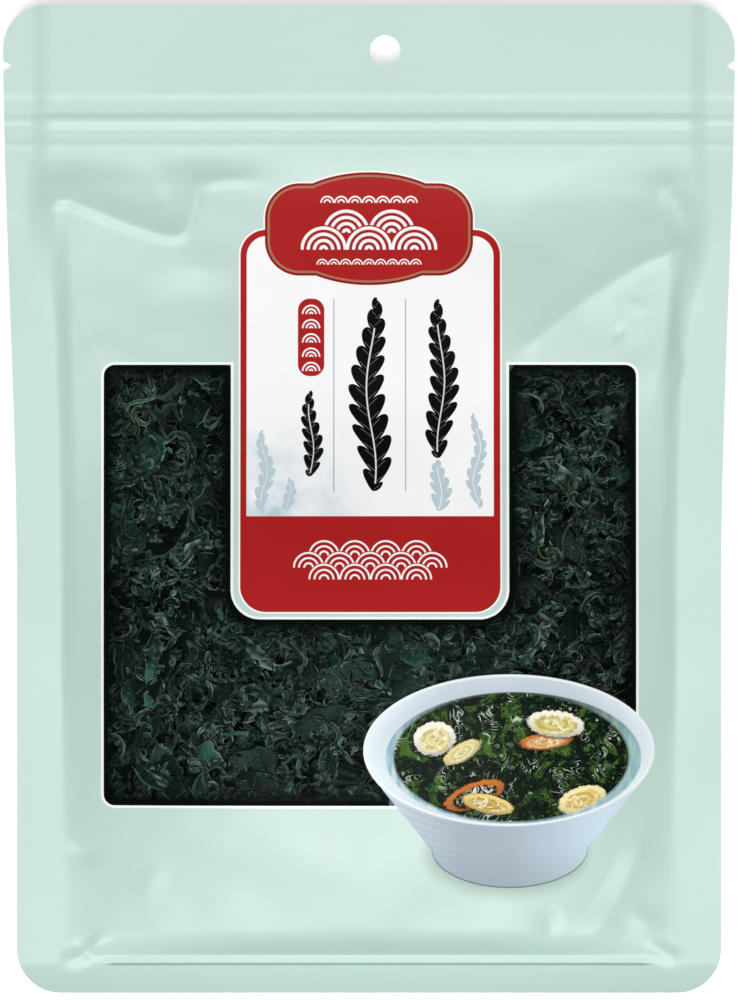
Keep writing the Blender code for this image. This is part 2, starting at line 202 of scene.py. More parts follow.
def edgeCuts(x, y):
    # the outline, the hang hole and the two wedge-shaped tear notches
    hole = np.hypot(x - cuts["hangHole"][0], y - cuts["hangHole"][1]) - cuts["hangRadius"]
    depthIn = (halfWidth(y) - np.abs(x)) / cuts["notchDepth"]
    wedge = np.abs(y - cuts["notchY"]) / cuts["notchHalf"] + depthIn - 1
    return np.maximum(np.maximum(outlineDistance(x, y), -hole), -wedge * cuts["notchHalf"])


def openingDistance(x, y):
    # the clear opening: the window without the label's tab and the printed bowl
    return np.maximum(windowDistance(x, y), -bowlDistance(x / mm, y / mm) * mm)


def fill(x, y):
    # how full the pouch is, from 0 at its seals to 1: rounded sides, steep bottom end, long top slope
    u = np.clip(np.abs(x) / (halfWidth(y) - pouch["sideSeal"]), 0, 1)
    low = np.clip((y - bodyLow) / pouch["bottomReach"], 0, 1)
    high = np.clip((zipper["low"] - y) / pouch["topReach"], 0, 1)
    return (1 - u ** pouch["sidePower"]) * (1 - (1 - low) ** pouch["bottomPower"]) * smooth(high)


# How the front film bulges: a steep part that starts at the seals and a gentle part over the whole body, each
# as height, reach from the bottom seal, power of its rise there, and powers of its fall to the sides at the
# bottom and above. The whole rises from the zipper down, and a low wall stands along the side seals
bulges = [
    (8.5 * mm, 8.5 * mm, 3.2, 2.2, 2.8),
    (12.5 * mm, 78 * mm, 2.0, 1.2, 2.5),
]
bulgeTop = {"reach": 135 * mm, "power": 1.8}
bulgeSides = {"change": (-118 * mm, 35 * mm), "foot": 0.1, "footFade": (-45 * mm, 50 * mm)}
sideWall = {
    "height": 2.5 * mm,
    "width": 4.8 * mm,
    "past": 0.4 * mm,
    "from": 82 * mm,
    "fade": (45 * mm, 150 * mm),
}


def swell(x, y):
    # the wall, and the bulges, each a product of its falls to the seals with a rounded foot low down
    u = np.clip(np.abs(x) / (halfWidth(y) - pouch["sideSeal"]), 0, 1)
    top = smooth(np.clip((zipper["low"] - y) / bulgeTop["reach"], 0, 1) ** bulgeTop["power"])
    changeY, changeLength = bulgeSides["change"]
    above = smooth((y - changeY) / changeLength)
    footY, footLength = bulgeSides["footFade"]
    foot = bulgeSides["foot"] * smooth((footY - y) / footLength)
    total = 0
    for height, reach, endPower, bottomPower, sidePower in bulges:
        low = np.clip((y - bodyLow) / reach, 0, 1)
        side = 1 - u ** (bottomPower + (sidePower - bottomPower) * above)
        side = side * side / (side + foot + 1e-9)
        total = total + height * side * (1 - (1 - low) ** endPower)
    edge = halfWidth(y) - pouch["sideSeal"] + sideWall["past"]
    near, far = sideWall["fade"]
    step = smooth((edge - np.abs(x)) / sideWall["width"]) * smooth((sideWall["from"] - y) / near)
    return total * top + sideWall["height"] * step * smooth((y - sideWall["from"] + far) / far)


def zipEnds(x):
    # 1 over the zipper strips, down to nothing past their ends
    start, end = zipper["fade"]
    return smooth((end - np.abs(x)) / (end - start))


def sealPlane(x, y):
    # where the films meet: raised in the header, curled up at the bottom edge, waving along the side seals
    raised = zipper["flangeLift"] * smooth((y - zipper["high"]) / zipper["above"]) * zipEnds(x)
    curl = pouch["bottomCurl"] * np.clip((bottomY - y) / pouch["bottomSeal"] + 1, 0, 1) ** pouch["curlPower"]
    side = smooth((np.abs(x) / halfWidth(y) - pouch["waveFrom"]) / (1 - pouch["waveFrom"]))
    body = smooth((zipper["low"] - y) / pouch["waveFade"]) * smooth((y - bottomY) / pouch["waveFade"])
    turn = 2 * math.pi * y / pouch["waveLength"] + pouch["waveShift"] * np.sign(x)
    return pouch["sealHeight"] + raised + curl + pouch["waveHeight"] * np.sin(turn) * side * body


def zipLift(x, y):
    # a low band with a ridge over the zipper's profile; above it the seal plane takes over
    below, above = zipper["below"], zipper["above"]
    band = smooth((y - zipper["low"] + below) / below) * (1 - smooth((y - zipper["high"]) / above))
    ridge = smooth((zipper["ridgeHalf"] - np.abs(y - zipper["middle"])) / zipper["ridgeFlank"])
    return (zipper["flangeLift"] * band + (zipper["ridgeLift"] - zipper["flangeLift"]) * ridge) * zipEnds(x)


# Creases of the film, in millimetres: a route, ridges along it as height, reach to the left and right of the
# route and rounding of the crest, and the share of the route over which its ends fade
foldLines = {
    "left shoulder": (
        [(-90, 78.6), (-87.5, 80), (-85, 81.2), (-82.2, 81.5), (-79.5, 80.4), (-74.9, 78.7), (-68, 75.8),
         (-61, 73.4), (-54.4, 71.6), (-50.3, 73), (-48.1, 77.5), (-46.9, 83), (-46.2, 88), (-45.8, 94)],
        [(2.2, 13, 22, 1.0), (0.6, 5, 1.7, 0.25)], 0.18),
    "left side roll": (
        [(-84.4, 79.8), (-82.4, 76), (-81.4, 68), (-80, 57), (-77.6, 48.8), (-74.5, 41.9), (-69.5, 35),
         (-62, 29)],
        [(1.1, 26, 4.5, 0.6)], 0.3),
    "left shoulder fan": (
        [(-48, 84.5), (-42, 86.8), (-35, 87.6), (-27, 87.2)],
        [(0.5, 2.4, 2.0, 0.4)], 0.45),
    "left patch": ([(-56, 61), (-50, 63.5), (-43, 62), (-37, 57.5)], [(0.9, 9, 6, 1.5)], 0.5),
    "right shoulder": (
        [(86.5, 68.6), (83.6, 68.0), (80.9, 66.8), (74, 63.9), (63.1, 57), (52.2, 48.8), (44, 42),
         (38, 36)],
        [(2.3, 13, 22, 1.2), (0.4, 2.4, 4.0, 0.4)], (0.12, 0.2)),
    "right side roll": (
        [(85.0, 68.6), (83.4, 60), (82.0, 52), (80.8, 44), (79.6, 36), (77.6, 26), (76, 12)],
        [(1.7, 4.0, 16, 0.9)], (0.12, 0.35)),
    "right lower crinkle": (
        [(82.6, 40), (84.6, 36.5), (83.4, 32), (82.2, 28)],
        [(0.5, 1.4, 1.6, 0.3)], 0.4),
    "right tick": ([(69, 53.8), (72.5, 53.4), (77, 53.9)], [(0.25, 0.8, 0.7, 0.15)], 0.45),
    "right second tick": ([(70, 52.0), (73.5, 51.6), (77.5, 52.1)], [(0.25, 0.8, 0.7, 0.15)], 0.45),
    "right dimple": ([(69.4, 47), (68.2, 45), (67, 42.6)], [(-0.45, 1.2, 1.2, 0.3)], 0.5),
    "right upper crinkle": (
        [(87.2, 76), (84.6, 79.6), (82.4, 84), (83.6, 89)],
        [(0.5, 2.8, 3.0, 0.8)], 0.3),
    "right upper roll": ([(80.6, 90), (79, 83), (78.6, 76), (80.4, 70.5)], [(0.6, 3.0, 4.0, 0.8)], 0.3),
    "right small bump": ([(85.8, 84), (84.2, 82), (84.6, 79.6)], [(0.3, 1.4, 1.4, 0.5)], 0.5),
    "bottom left end": (
        [(-84, -126.6), (-79.5, -125.4), (-75.2, -122.8), (-72.4, -119.4)],
        [(0.7, 2.0, 2.4, 0.6)], 0.3),
    "bottom left end fold": ([(-81, -121), (-77, -123.4), (-74.8, -126.4)], [(-0.4, 1.2, 1.2, 0.4)], 0.4),
    "bottom right end": ([(85, -125.6), (80.5, -124.2), (76.6, -121.4)], [(0.6, 2.4, 2.0, 0.6)], 0.35),
    "lower right streak": (
        [(77, -84), (74.5, -94), (71.5, -102), (67.5, -110), (62.5, -117), (57, -123.5)],
        [(0.9, 4.5, 3.6, 0.9)], 0.3),
    "lower right lobe": ([(72, -112), (75, -115.5), (79, -116)], [(0.6, 3.4, 3.0, 0.7)], 0.4),
    "lower right hollow": ([(48, -112.5), (49.6, -117), (49.4, -121.5)], [(-0.7, 3.0, 4.0, 0.9)], 0.45),
    "lower left dent": ([(-81.5, -94), (-77.5, -96.6), (-72.5, -97.2)], [(-0.9, 1.8, 3.0, 0.6)], 0.45),
    "lower left sweep": ([(-62, -109), (-59.4, -105), (-56.6, -101)], [(0.4, 3.0, 3.0, 0.8)], 0.45),
}
creases = {
    "stations": 40,
    "spread": 1.4,
    "power": 1.4,
    "fromEdge": (4 * mm, 9 * mm),
    "fromZipper": (2 * mm, 9 * mm),
}
weldGroove = {
    "y": -127.15 * mm,
    "from": -72.4 * mm,
    "to": 77.6 * mm,
    "half": 0.4 * mm,
    "depth": 0.6 * mm,
    "fade": 5 * mm,
}


def throughPoints(points, count):
    # a smooth curve through the points: each span is a cubic whose slopes come from the neighbours
    points = np.array(points, float)
    padded = np.concatenate([2 * points[:1] - points[1:2], points, 2 * points[-1:] - points[-2:-1]])
    place = np.linspace(0, len(points) - 1, count)
    span = np.minimum(place.astype(int), len(points) - 2)
    t = (place - span)[:, None]
    a, b, c, d = (padded[span + k] for k in range(4))
    return 0.5 * (2 * b + (c - a) * t + (2 * a - 5 * b + 4 * c - d) * t**2 + (3 * b - a - 3 * c + d) * t**3)


def crease(x, y, route, ridges, taper):
    # crests along a curve: a span's height falls off as a power of the distance, and the highest counts
    route = throughPoints(np.array(route) * mm, creases["stations"])
    reach = creases["spread"] * max(left + right for _, left, right, _ in ridges) * mm
    near = (x > route[:, 0].min() - reach) & (x < route[:, 0].max() + reach)
    near &= (y > route[:, 1].min() - reach) & (y < route[:, 1].max() + reach)
    px, py = x[near], y[near]
    start, step = route[:-1], np.diff(route, axis=0)
    dx, dy = px[:, None] - start[:, 0], py[:, None] - start[:, 1]
    t = np.clip((dx * step[:, 0] + dy * step[:, 1]) / (step**2).sum(1), 0, 1)
    offX, offY = dx - t * step[:, 0], dy - t * step[:, 1]
    away = np.hypot(offX, offY) / mm
    turned = (step[:, 0] * offY - step[:, 1] * offX) / (np.hypot(*step.T) * away * mm + 1e-12)
    along = (np.arange(len(step)) + t) / len(step)
    first, last = taper if isinstance(taper, tuple) else (taper, taper)
    fade = smooth(along / first) * smooth((1 - along) / last)
    total = 0
    for height, left, right, rounding in ridges:
        crest = np.sqrt(away**2 + rounding**2) - rounding
        reach = creases["spread"] * (right + (left - right) * (turned + 1) / 2)
        share = np.maximum(1 - crest / reach, 0) ** creases["power"]
        total = total + height * (fade * share).max(1)
    result = np.zeros_like(x)
    result[near] = total * mm
    return result


def weldLine(x, y):
    # a narrow V pressed along the top of the bottom seal
    share = np.maximum(1 - np.abs(y - weldGroove["y"]) / weldGroove["half"], 0)
    toEnd = np.minimum(x - weldGroove["from"], weldGroove["to"] - x)
    return -weldGroove["depth"] * share * smooth(toEnd / weldGroove["fade"])


def ripples(x, y, length, seed, count=9):
    # uneven soft relief from -1 to 1: a sum of sine waves in random directions
    rng = np.random.default_rng(seed)
    total = 0
    for turn, stretch, shift in rng.uniform((0, 0.7, 0), (math.pi, 1.5, 2 * math.pi), (count, 3)):
        along = x * math.cos(turn) + y * math.sin(turn)
        total = total + np.sin(along * 2 * math.pi * stretch / length + shift)
    return total / count**0.5 / 1.5


# Fine lines pressed across the header: middle y, half width and step up in millimetres
pressLines = [
    (109.6, 1.2, 0.16), (104.2, 0.5, -0.08), (102.4, 0.5, 0.12), (97.6, 0.8, -0.08), (95.6, 0.8, 0.08),
]


def pressed(x, y):
    # steps across the full width, from the zipper's tapes and the seal lines beside them
    total = 0
    for middle, half, step in pressLines:
        total = total + step * mm * smooth(((y - middle * mm) / (half * mm) + 1) / 2)
    return total


# Soft relief of the films, as height, length and seed, and the step down to the welded margins
relief = {
    "shared": (0.12 * mm, 45 * mm, 3),
    "front": [(0.25 * mm, 42 * mm, 5), (0.08 * mm, 17 * mm, 8)],
    "fromFill": 0.3,
    "sealStep": (0.08 * mm, 0.8 * mm),
}


def sealStep(x, y):
    # the welded margins lie a little lower than the free film
    depth, width = relief["sealStep"]
    return depth * smooth((np.abs(x) - halfWidth(y) + pouch["sideSeal"]) / width + 0.5)


def sharedPlane(x, y):
    # what both films follow: the seal plane with faint ripples, and the pressed lines
    height, length, seed = relief["shared"]
    return sealPlane(x, y) + height * ripples(x, y, length, seed) + pressed(x, y)


def frontUnder(x, y):
    # the shared plane with the bulges and zipper, and with creases and relief that end before zipper and edge
    base = sharedPlane(x, y) + pouch["weld"] / 2 + swell(x, y) + zipLift(x, y)
    folds = sum(crease(x, y, *fold) for fold in foldLines.values())
    soft = sum(height * ripples(x, y, length, seed) for height, length, seed in relief["front"])
    margin, width = creases["fromEdge"]
    folds = folds * smooth((halfWidth(y) - np.abs(x) - margin) / width)
    margin, width = creases["fromZipper"]
    below = smooth((zipper["low"] - margin - y) / width)
    return base + (folds + soft * smooth(fill(x, y) / relief["fromFill"])) * below + weldLine(x, y)


def backTop(x, y):
    # sinks from the seals until it lies flat on the surface
    sunk = 1 - (1 - np.clip(fill(x, y) / pouch["restShare"], 0, 1)) ** 2
    level = sharedPlane(x, y) - pouch["weld"] / 2 - zipLift(x, y)
    return level + (pouch["film"] - level) * sunk


def paneTop(x, y):
    # behind the front film at its lap, and flush with it in the opening
    flush = smooth(-openingDistance(x, y) / pouch["flushWidth"])
    return frontUnder(x, y) - pouch["weld"] + pouch["film"] * flush


# Meshes
def spaced(stops):
    # coordinates in metres from stops in millimetres, each with the spacing up to the next
    runs = []
    for (a, gap), (b, _) in zip(stops, stops[1:]):
        runs.append(np.linspace(a, b, max(2, round((b - a) / gap) + 1))[:-1])
    return np.concatenate([*runs, [stops[-1][0]]]) * mm


def clipGrid(x, y, distance, snap=0.02 * mm):
    # a triangulated grid cut off where the distance passes zero, with new points on the cut edges
    rows, columns = x.shape
    index = np.arange(rows * columns).reshape(rows, columns)
    a, b, c, d = index[:-1, :-1], index[:-1, 1:], index[1:, 1:], index[1:, :-1]
    triangles = np.concatenate([np.stack(three, -1).reshape(-1, 3) for three in ([a, b, c], [a, c, d])])
    points = np.stack([x, y], -1).reshape(-1, 2)
    far = distance.ravel().copy()
    far[np.abs(far) < snap] = 0
    sign = np.sign(far)[triangles]
    triangles, sign = triangles[(sign < 0).any(1)], sign[(sign < 0).any(1)]
    whole = triangles[(sign <= 0).all(1)]
    mixed, sign = triangles[(sign > 0).any(1)], sign[(sign > 0).any(1)]
    lone = (sign <= 0).sum(1) == 1  # only one corner stays
    first = np.argmax((sign <= 0) == lone[:, None], 1)
    mixed = mixed[np.arange(len(mixed))[:, None], (first[:, None] + [0, 1, 2]) % 3]
    pairs = np.sort(np.concatenate([mixed[:, [0, 1]], mixed[:, [0, 2]]]), 1)
    keys, place = np.unique(pairs[:, 0] * len(points) + pairs[:, 1], return_inverse=True)
    low, high = keys // len(points), keys % len(points)
    share = (far[low] / (far[low] - far[high] + 1e-30))[:, None]
    fresh = points[low] + share * (points[high] - points[low])
    target = np.where(far[high] == 0, high, len(points) + np.arange(len(keys)))
    target = np.where(far[low] == 0, low, target)
    crossing = target[place.ravel()]
    p, q = crossing[: len(mixed)], crossing[len(mixed) :]
    _, second, third = mixed.T
    pieces = [whole, np.stack([mixed[:, 0], p, q], -1)[lone]]
    pieces += [np.stack([p, second, third], -1)[~lone], np.stack([p, third, q], -1)[~lone]]
    triangles = np.concatenate(pieces)
    triangles = triangles[(triangles != np.roll(triangles, 1, 1)).all(1)]
    used, triangles = np.unique(triangles, return_inverse=True)
    return np.concatenate([points, fresh])[used], triangles.reshape(-1, 3)


def makeObject(name, points, corners, sizes, smoothAngle=40):
    # a mesh from flat arrays: points, the faces' corners one after another, and each face's corner count
    mesh = bpy.data.meshes.new(name)
    mesh.vertices.add(len(points))
    mesh.vertices.foreach_set("co", np.asarray(points, np.float32).ravel())
    mesh.loops.add(len(corners))
    mesh.loops.foreach_set("vertex_index", np.asarray(corners, np.int32))
    mesh.polygons.add(len(sizes))
    mesh.polygons.foreach_set("loop_start", (np.cumsum(sizes) - sizes).astype(np.int32))
    mesh.polygons.foreach_set("loop_total", np.asarray(sizes, np.int32))
    mesh.update(calc_edges=True)
    mesh.validate()
    mesh.shade_smooth()
    mesh.set_sharp_from_angle(angle=math.radians(smoothAngle))
    obj = bpy.data.objects.new(name, mesh)
    bpy.context.scene.collection.objects.link(obj)
    return obj


def sheet(name, x, y, distance, upper, lower):
    # a closed sheet between two heights over the part of a grid where the distance is below zero
    points, triangles = clipGrid(x, y, distance)
    count = len(points)
    top = np.column_stack([points, upper(points[:, 0], points[:, 1])])
    bottom = np.column_stack([points, lower(points[:, 0], points[:, 1])])
    edges = np.concatenate([triangles[:, [0, 1]], triangles[:, [1, 2]], triangles[:, [2, 0]]])
    keys = np.sort(edges, 1) @ [count, 1]
    _, place, times = np.unique(keys, return_index=True, return_counts=True)
    rim = edges[place[times == 1]]
    walls = np.stack([rim[:, 1], rim[:, 0], rim[:, 0] + count, rim[:, 1] + count], -1)
    corners = np.concatenate([triangles.ravel(), (triangles[:, ::-1] + count).ravel(), walls.ravel()])
    sizes = np.concatenate([np.full(2 * len(triangles), 3), np.full(len(walls), 4)])
    return makeObject(name, np.concatenate([top, bottom]), corners, sizes)


def filmGrid(rows, columns, past=1.2 * mm):
    # straight columns over the window, which bend to follow the sides near the pouch's edge
    u, y = np.meshgrid(columns, rows)
    edge = pouch["headerHalf"] + past
    share = smooth((np.abs(u) - 76 * mm) / (edge - 76 * mm))
    return u * (1 - share * (1 - (halfWidth(y) + past) / edge)), y


# The films and the pane, with their rows and columns in millimetres
filmGrids = {
    "frontRows": [
        (-136.2, 0.9), (-128, 0.16), (-126.4, 0.55), (-118, 1.0), (-95, 1.4), (-83.7, 2.0), (-45, 1.5),
        (-32.9, 2.0), (36.5, 1.0), (60, 0.75), (88, 0.5), (112, 0.9), (116, 0.6), (127.4, 1.1), (136.2, 0)],
    "frontColumns": [
        (-101.2, 0.75), (-92, 0.85), (-72.4, 1.0), (-46, 1.8), (-2, 0.9), (11, 1.8), (45, 1.0), (72.9, 0.85),
        (92, 0.75), (101.2, 0)],
    "backRows": [(-136.2, 1.2), (-100, 2.4), (80, 1.2), (116, 0.7), (127.4, 1.4), (136.2, 0)],
    "backColumns": [(-101.2, 1.2), (-70, 2.6), (-2, 1.3), (11, 2.6), (70, 1.2), (101.2, 0)],
    "paneRows": [(-89, 0.7), (-80, 1.4), (34, 0.7), (42, 0)],
    "paneColumns": [(-78, 0.7), (-70, 1.4), (-42, 0.9), (42, 1.4), (70, 0.7), (78, 0)],
}


def makeFront():
    x, y = filmGrid(spaced(filmGrids["frontRows"]), spaced(filmGrids["frontColumns"]))
    distance = np.maximum(edgeCuts(x, y), -openingDistance(x, y))

    def lower(x, y):
        return frontUnder(x, y) - sealStep(x, y)

    obj = sheet("printed_front", x, y, distance, lambda x, y: lower(x, y) + pouch["film"], lower)
    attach(obj, "root")
    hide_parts("front_film")
    return obj


def makeBack():
    x, y = filmGrid(spaced(filmGrids["backRows"]), spaced(filmGrids["backColumns"]))

    def upper(x, y):
        return backTop(x, y) - sealStep(x, y)

    obj = sheet("plain_back", x, y, edgeCuts(x, y), upper, lambda x, y: upper(x, y) - pouch["film"])
    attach(obj, "root")
    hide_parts("back_film")
    return obj


def makePane():
    x, y = np.meshgrid(spaced(filmGrids["paneColumns"]), spaced(filmGrids["paneRows"]))
    lowX, highX, lowY, highY = cuts["window"]
    lap = cuts["lap"]
    box = (lowX - lap, highX + lap, lowY - lap, highY + lap)
    distance = boxDistance(x, y, box, cuts["windowRadius"] + lap)
    obj = sheet("clear_window", x, y, distance, paneTop, lambda x, y: paneTop(x, y) - pouch["pane"])
    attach(obj, "root")
    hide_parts("window_pane")
    return obj


# The wakame
heap = {
    "plan": (-78 * mm, 78 * mm, -120 * mm, 64 * mm),
    "rounding": 0.18,
    "clear": 0.25 * mm,
    "bedDepth": 4.6 * mm,
    "bedRelief": 2.2 * mm,
    "bedUnder": 1.2 * mm,
    "bedGrid": (110, 130),
    "behindWindow": 0.9,
    "seed": 41,
}

# Flakes by kind: how many, length, width, thickness and depth in millimetres, stations, bend, hook, lean and
# twist in radians, height of the waves, roll of the rims, ragged width, and tone from black to teal
flakeKinds = {
    "wakame_leaves": dict(
        count=640, length=(6, 16), width=(4, 10), thick=0.3, depth=(0.5, 3.4), stations=7, bend=0.7, hook=0.4,
        lean=0.3, twist=0.35, wave=1.6, roll=(0.1, 1.1), ragged=0.2, tone=(0.15, 1.0)),
    "wakame_strips": dict(
        count=1900, length=(4.5, 15), width=(1.2, 3.5), thick=0.26, depth=(0.2, 2.8), stations=9, bend=1.7,
        hook=1.8, lean=1.2, twist=1.6, wave=1.4, roll=(0, 0), ragged=0.3, tone=(0.1, 0.9)),
    "wakame_curls": dict(
        count=1600, length=(4, 11), width=(0.6, 1.4), thick=0.34, depth=(0.05, 2.0), stations=9, bend=3.0,
        hook=3.0, lean=0.8, twist=1.5, wave=1.4, roll=(0, 0), ragged=0.3, tone=(0.3, 1.0)),
    "wakame_crumbs": dict(
        count=2200, length=(1.5, 4.2), width=(0.9, 2.3), thick=0.4, depth=(0.1, 2.4), stations=5, bend=1.8,
        hook=1.2, lean=1.2, twist=1.4, wave=0.7, roll=(0, 0), ragged=0.4, tone=(0.1, 1.0)),
}


def heapLimits(x, y):
    return backTop(x, y) + heap["clear"], frontUnder(x, y) - pouch["weld"] - pouch["pane"] - heap["clear"]


def heapPlace(u, v):
    # a point of the heap's rounded plan, for u and v from -1 to 1
    lowX, highX, lowY, highY = heap["plan"]
    x = u * np.sqrt(1 - heap["rounding"] * v * v)
    y = v * np.sqrt(1 - heap["rounding"] * u * u)
    return (lowX + highX + x * (highX - lowX)) / 2, (lowY + highY + y * (highY - lowY)) / 2


def makeBed():
    # a crumpled slab under the loose flakes: ridged waves on top, thinning towards the seals
    columns, rows = heap["bedGrid"]
    x, y = heapPlace(*np.meshgrid(np.linspace(-1, 1, columns), np.linspace(-1, 1, rows)))
    inside = np.full(x.shape, -1.0)

    def upper(x, y):
        low, high = heapLimits(x, y)
        relief = np.abs(ripples(x, y, 9 * mm, 21)) + 0.6 * np.abs(ripples(x, y, 4 * mm, 22))
        depth = heap["bedDepth"] - heap["bedRelief"] * relief
        return high - np.clip(depth, 0.2 * mm, 0.45 * (high - low))

    def lower(x, y):
        low, high = heapLimits(x, y)
        return low + np.minimum(heap["bedUnder"], 0.25 * (high - low))

    obj = sheet("wakame_bed", x, y, inside, upper, lower)
    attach(obj, "root")
    return obj


def flakePlaces(rng, count):
    # spread over the heap's plan, most of them under the window
    u, v = rng.uniform(-0.98, 0.98, (2, count))
    x, y = heapPlace(u, v)
    lowX, highX, lowY, highY = cuts["window"]
    behind = rng.random(count) < heap["behindWindow"]
    x = np.where(behind, rng.uniform(lowX - 3 * mm, highX + 3 * mm, count), x)
    y = np.where(behind, rng.uniform(lowY - 3 * mm, highY + 3 * mm, count), y)
    return x, y


def makeFlakes(name, kind, rng):
    # flat ribbons along bent paths, as whole arrays of flake, station and corner. A corner's height is the
    # film's there, less the flake's own depth: waves along it, lean across it, rolled rims and some crumple
    count, stations = kind["count"], kind["stations"]

    def pick(low, high, *shape):
        return rng.uniform(low, high, (count, *shape))

    def within(name):
        return pick(-kind[name], kind[name], 1)

    s = np.linspace(-1, 1, stations)[None, :]
    heading = pick(0, 2 * math.pi, 1) + within("bend") * s
    heading = heading + within("hook") * np.maximum(s, 0) ** 2 + within("hook") * np.minimum(s, 0) ** 2
    step = pick(*kind["length"], 1) * mm / (stations - 1)
    pathX, pathY = np.cumsum(np.cos(heading) * step, 1), np.cumsum(np.sin(heading) * step, 1)
    placeX, placeY = flakePlaces(rng, count)
    pathX += placeX[:, None] - pathX[:, stations // 2, None]
    pathY += placeY[:, None] - pathY[:, stations // 2, None]
    taper = 1 + pick(-0.35, 0.35, 1) * s - pick(0, 0.35, 1) * s * s
    half = pick(*kind["width"], 1) * mm / 2 * taper * (1 + pick(-1, 1, stations) * kind["ragged"])
    wide = kind["roll"][1] > 0
    across = np.array([-1, -0.86, 0, 0.86, 1] if wide else [-1, 0, 1])
    rim = (np.abs(across) == 1) * 1.0
    lift = rim * np.where(across < 0, pick(*kind["roll"], 1), pick(*kind["roll"], 1))
    tuck = 1 - 0.25 * rim * (np.abs(lift) > 0.5)
    side = half[..., None] * (across * tuck)[:, None, :]
    turned = (within("lean") + within("twist") * s)[..., None]
    level = side * np.cos(turned)
    cornerX = pathX[..., None] - np.sin(heading)[..., None] * level
    cornerY = pathY[..., None] + np.cos(heading)[..., None] * level
    wave = pick(0, kind["wave"], 1) * (0.5 - 0.5 * np.cos(pick(1.5, 5, 1) * s + pick(0, 6.3, 1)))
    depth = (pick(*kind["depth"], 1) + wave)[..., None] * mm
    depth = depth + side * np.sin(turned) - lift[:, None, :] * 0.7 * mm
    depth = depth + pick(-0.16, 0.16, stations, len(across)) * mm
    low, high = heapLimits(cornerX, cornerY)
    thick = kind["thick"] * mm
    deepest = np.maximum(0.45 * (high - low), 0.3 * mm)
    upper = high - np.clip(depth, 0.02 * mm, deepest)
    middle = slice(1, -1)
    lower = (upper - thick)[..., middle][..., ::-1]
    deeper = np.concatenate([upper, upper[..., middle][..., ::-1]], 2)
    high = np.concatenate([high, high[..., middle][..., ::-1]], 2)
    ring = np.concatenate([
        np.stack([cornerX, cornerY, upper - thick * 0.5 * (np.abs(across) == 1)], -1),
        np.stack([cornerX[..., middle][..., ::-1], cornerY[..., middle][..., ::-1], lower], -1),
    ], 2)
    around = ring.shape[2]
    index = np.arange(count * stations * around).reshape(count, stations, around)
    a, b = index[:, :-1], np.roll(index, -1, 2)[:, :-1]
    c, d = np.roll(index, -1, 2)[:, 1:], index[:, 1:]
    quads = np.stack([a, d, c, b], -1).reshape(-1, 4)
    ends = np.concatenate([index[:, 0], index[:, -1, ::-1]])
    corners = np.concatenate([quads.ravel(), ends.ravel()])
    sizes = np.concatenate([np.full(len(quads), 4), np.full(len(ends), around)])
    obj = makeObject(name, ring.reshape(-1, 3), corners, sizes, 55)
    # painted highlight: a random share of the rim corners, which the finish lightens as if they caught the
    # light
    rimHighlightShares = np.concatenate([rim, rim[middle][::-1]])[None, None, :]
    rimHighlightShares = rimHighlightShares * pick(0, 1, stations, around) * pick(0, 1, 1, 1)
    # painted shade: each flake's random tone is darkened the deeper it lies under the film, standing in for
    # occlusion in the heap
    tonesWithDepthShade = pick(*kind["tone"], 1, 1) ** 1.6 * (1 - 0.75 * np.clip((high - deeper) / (4 * mm), 0, 1))
    hues = np.broadcast_to(pick(0, 1, 1, 1), (count, stations, around))
    for label, values in (("rim", rimHighlightShares), ("tone", tonesWithDepthShade), ("hue", hues)):
        layer = obj.data.attributes.new(label, "FLOAT", "POINT")
        layer.data.foreach_set("value", np.ascontiguousarray(values, np.float32).ravel())
    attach(obj, "root")
    return obj


